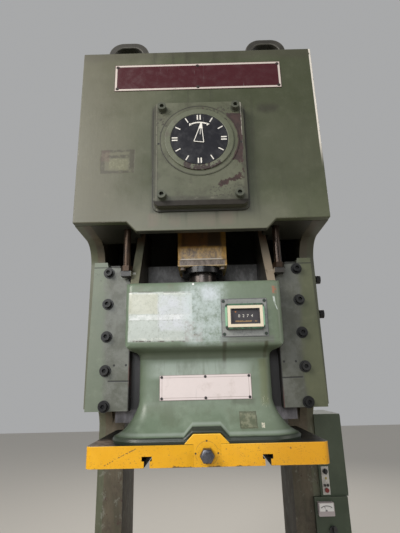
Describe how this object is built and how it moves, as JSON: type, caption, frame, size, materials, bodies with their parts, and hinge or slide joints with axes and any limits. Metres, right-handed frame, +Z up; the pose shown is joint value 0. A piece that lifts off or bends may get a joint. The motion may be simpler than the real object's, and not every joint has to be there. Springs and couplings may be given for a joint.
{
  "type": "mechanical stamping press",
  "caption": "Gap-frame mechanical stamping press with crank-driven slide, adjusting screw, gib guides, stroke dial, flywheel drive, bolster and control boxes.",
  "frame": {"origin": "centre of the four anchor holes, on the floor plane", "axes": "+Z up, -Y towards the operator at the press front, +X to the operator's right"},
  "size_m": [1.4925, 1.769, 3.805],
  "materials": {
    "frame_paint": "worn enamel",
    "slide_paint": "worn enamel",
    "yellow_paint": "worn enamel",
    "machined_steel": "machined",
    "dark_iron": "dark oiled",
    "black_fasteners": "black oxide",
    "grey_metal": "dull",
    "dial_black": "matt",
    "maroon_plate": "enamel plate",
    "cream_plate": "enamel plate",
    "motor_paint": "satin",
    "belt_rubber": "matt",
    "white_plastic": "matt",
    "red_plastic": "gloss",
    "black_plastic": "gloss"
  },
  "bodies": {
    "frame": {"side_frame_left": "frame_paint", "side_frame_right": "frame_paint", "crown_front": "frame_paint", "crown_top": "frame_paint", "crown_under": "frame_paint", "throat_web": "frame_paint", "gear_wall": "frame_paint", "back_plate": "frame_paint", "case_floor": "frame_paint", "bed_front": "frame_paint", "bed_top": "frame_paint", "bed_rear": "frame_paint", "base_rails": "frame_paint", "bolster": "machined_steel", "guide_left": "frame_paint", "guide_right": "frame_paint", "gib_left": "frame_paint", "gib_right": "frame_paint", "gib_bolts": "black_fasteners", "lugs": "frame_paint", "balance_cylinders": "dark_iron", "dial_cover": "frame_paint", "dial_cover_bolts": "black_fasteners", "dial_bezel": "grey_metal", "dial_face": "dial_black", "crown_plate": "maroon_plate", "motor": "motor_paint", "motor_base": "motor_paint", "belts": "belt_rubber", "belt_guard": "frame_paint", "cabinet": "frame_paint", "lower_box": "frame_paint", "button_strip": "white_plastic", "meter": "white_plastic", "side_fittings": "black_fasteners"},
    "rod": {"connecting_rod": "yellow_paint", "crank_pin": "machined_steel", "rod_clamp": "yellow_paint", "lock_nut": "dark_iron"},
    "ram": {"slide": "slide_paint", "slide_foot": "slide_paint", "slide_flange": "yellow_paint", "shank_clamp": "yellow_paint", "clamp_bolt": "dark_iron", "counter": "grey_metal", "slide_plate": "cream_plate", "balance_rods": "machined_steel"},
    "screw": {"adjusting_screw": "machined_steel"},
    "crank": {"crankshaft": "machined_steel", "main_gear": "dark_iron", "pointer": "machined_steel"},
    "pinion": {"pinion_shaft": "machined_steel"},
    "wheel": {"flywheel": "dark_iron"},
    "pulley": {"motor_pulley": "dark_iron"},
    "door": {"cabinet_door": "frame_paint"},
    "stop": {"stop_button": "red_plastic"},
    "key_a": {"key_left": "black_plastic"},
    "key_b": {"key_right": "black_plastic"},
    "selector": {"selector_knob": "black_plastic"},
    "speed": {"speed_knob": "black_plastic"}
  },
  "joints": [
    {"name": "slide_stroke", "type": "slide", "parent": "frame", "child": "rod", "axis": [0, 0, 1], "range_m": [-0.18, 0]},
    {"name": "height_adjust", "type": "slide", "parent": "rod", "child": "ram", "axis": [0, 0, 1], "range_m": [-0.06, 0.03]},
    {"name": "screw_turn", "type": "hinge", "parent": "ram", "child": "screw", "pos_m": [0, -0.436, 2.2], "axis": [0, 0, 1], "range_deg": [-1801, 901]},
    {"name": "crank_turn", "type": "hinge", "parent": "frame", "child": "crank", "pos_m": [0, -0.436, 2.862], "axis": [0, 1, 0], "range_deg": [0, 180]},
    {"name": "pinion_turn", "type": "hinge", "parent": "frame", "child": "pinion", "pos_m": [0, -0.436, 2.372], "axis": [0, 1, 0], "range_deg": [-1080, 0]},
    {"name": "flywheel_spin", "type": "hinge", "parent": "frame", "child": "wheel", "pos_m": [0, 0.764, 2.372], "axis": [0, 1, 0], "continuous": true},
    {"name": "motor_spin", "type": "hinge", "parent": "frame", "child": "pulley", "pos_m": [0, 0.764, 3.645], "axis": [0, 1, 0], "continuous": true},
    {"name": "cabinet_door_swing", "type": "hinge", "parent": "frame", "child": "door", "pos_m": [0.749, 0.263, 1.355], "axis": [0, 0, 1], "range_deg": [0, 110]},
    {"name": "stop_press", "type": "slide", "parent": "frame", "child": "stop", "axis": [0, 1, 0], "range_m": [0, 0.0025], "stiffness_N_per_m": 800},
    {"name": "left_key_press", "type": "slide", "parent": "frame", "child": "key_a", "axis": [0, 1, 0], "range_m": [0, 0.0025], "stiffness_N_per_m": 500},
    {"name": "right_key_press", "type": "slide", "parent": "frame", "child": "key_b", "axis": [0, 1, 0], "range_m": [0, 0.0025], "stiffness_N_per_m": 500},
    {"name": "selector_turn", "type": "hinge", "parent": "frame", "child": "selector", "pos_m": [0.632, -0.056, 1.272], "axis": [0, 1, 0], "range_deg": [-45, 45]},
    {"name": "speed_knob_turn", "type": "hinge", "parent": "frame", "child": "speed", "pos_m": [0.642, -0.071, 0.999], "axis": [0, 1, 0], "range_deg": [-135, 135]}
  ],
  "couplings": [
    {"joint": "crank_turn", "follows": "slide_stroke", "rad_per_m": -17.453},
    {"joint": "pinion_turn", "follows": "slide_stroke", "rad_per_m": 104.72},
    {"joint": "screw_turn", "follows": "height_adjust", "rad_per_m": 523.6},
    {"joint": "motor_spin", "follows": "flywheel_spin", "ratio": 5}
  ]
}
